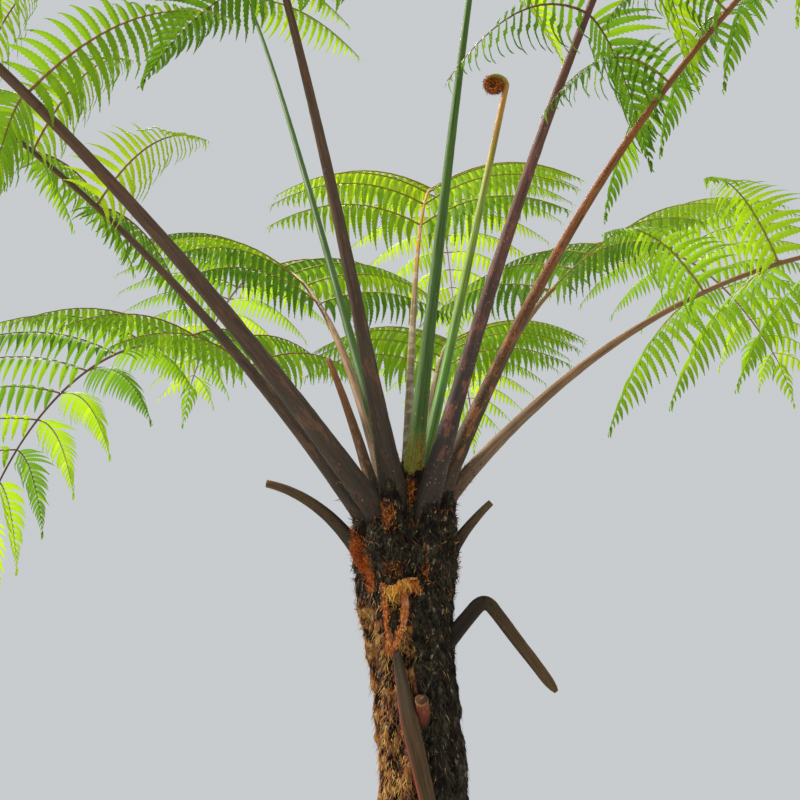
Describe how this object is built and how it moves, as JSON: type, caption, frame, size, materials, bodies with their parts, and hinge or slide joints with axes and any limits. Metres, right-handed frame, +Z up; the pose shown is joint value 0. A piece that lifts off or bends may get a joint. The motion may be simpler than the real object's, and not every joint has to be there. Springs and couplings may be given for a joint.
{
  "type": "tree fern",
  "caption": "Tree fern with a leaning fibrous trunk, a crown of long arching fronds on bare stalks, one rolled young frond and broken dead stalks.",
  "frame": {"origin": "centre of the flat ground cut under the trunk", "axes": "+Z up the trunk, -Y towards the viewer of the picture, +X to the viewer's right"},
  "size_m": [4.2766, 4.2068, 4.2739],
  "materials": {
    "bark": "rough, fibrous",
    "brown_stalk": "dull with fine warts",
    "rust_stalk": "dull with fine warts",
    "tan_stalk": "dull with fine warts",
    "green_stalk": "smooth, waxy",
    "leaf": "leafy, slightly glossy",
    "dead_stalk": "dry, dull",
    "scales": "hairy"
  },
  "bodies": {
    "root": {"back_left_leaf": "leaf", "back_left_leaf_tip": "leaf", "back_left_stalk": "tan_stalk", "back_low_leaf": "leaf", "back_low_stalk": "tan_stalk", "back_right_leaf": "leaf", "back_right_leaf_tip": "leaf", "back_right_stalk": "tan_stalk", "back_young_leaf": "leaf", "back_young_leaf_tip": "leaf", "back_young_stalk": "tan_stalk", "broken_stalk_hanging": "dead_stalk", "broken_stalk_left": "rust_stalk", "broken_stalk_standing": "dead_stalk", "crozier_coil": "scales", "crozier_stalk": "green_stalk", "cut_stub_front": "dead_stalk", "dead_stub_left": "dead_stalk", "dead_stub_right": "dead_stalk", "front_left_leaf": "leaf", "front_left_stalk": "brown_stalk", "front_right_leaf": "leaf", "front_right_stalk": "brown_stalk", "front_young_leaf": "leaf", "front_young_stalk": "green_stalk", "hanging_dead_stalk": "dead_stalk", "left_high_leaf": "leaf", "left_high_stalk": "brown_stalk", "left_low_leaf": "leaf", "left_low_leaf_tip": "leaf", "left_low_stalk": "brown_stalk", "left_mid_leaf": "leaf", "left_mid_stalk": "brown_stalk", "left_young_leaf": "leaf", "left_young_leaf_tip": "leaf", "left_young_stalk": "green_stalk", "old_frond_foot": "scales", "right_high_leaf": "leaf", "right_high_leaf_tip": "leaf", "right_high_stalk": "rust_stalk", "right_low_leaf": "leaf", "right_low_leaf_tip": "leaf", "right_low_stalk": "tan_stalk", "trunk": "bark"}
  },
  "joints": []
}
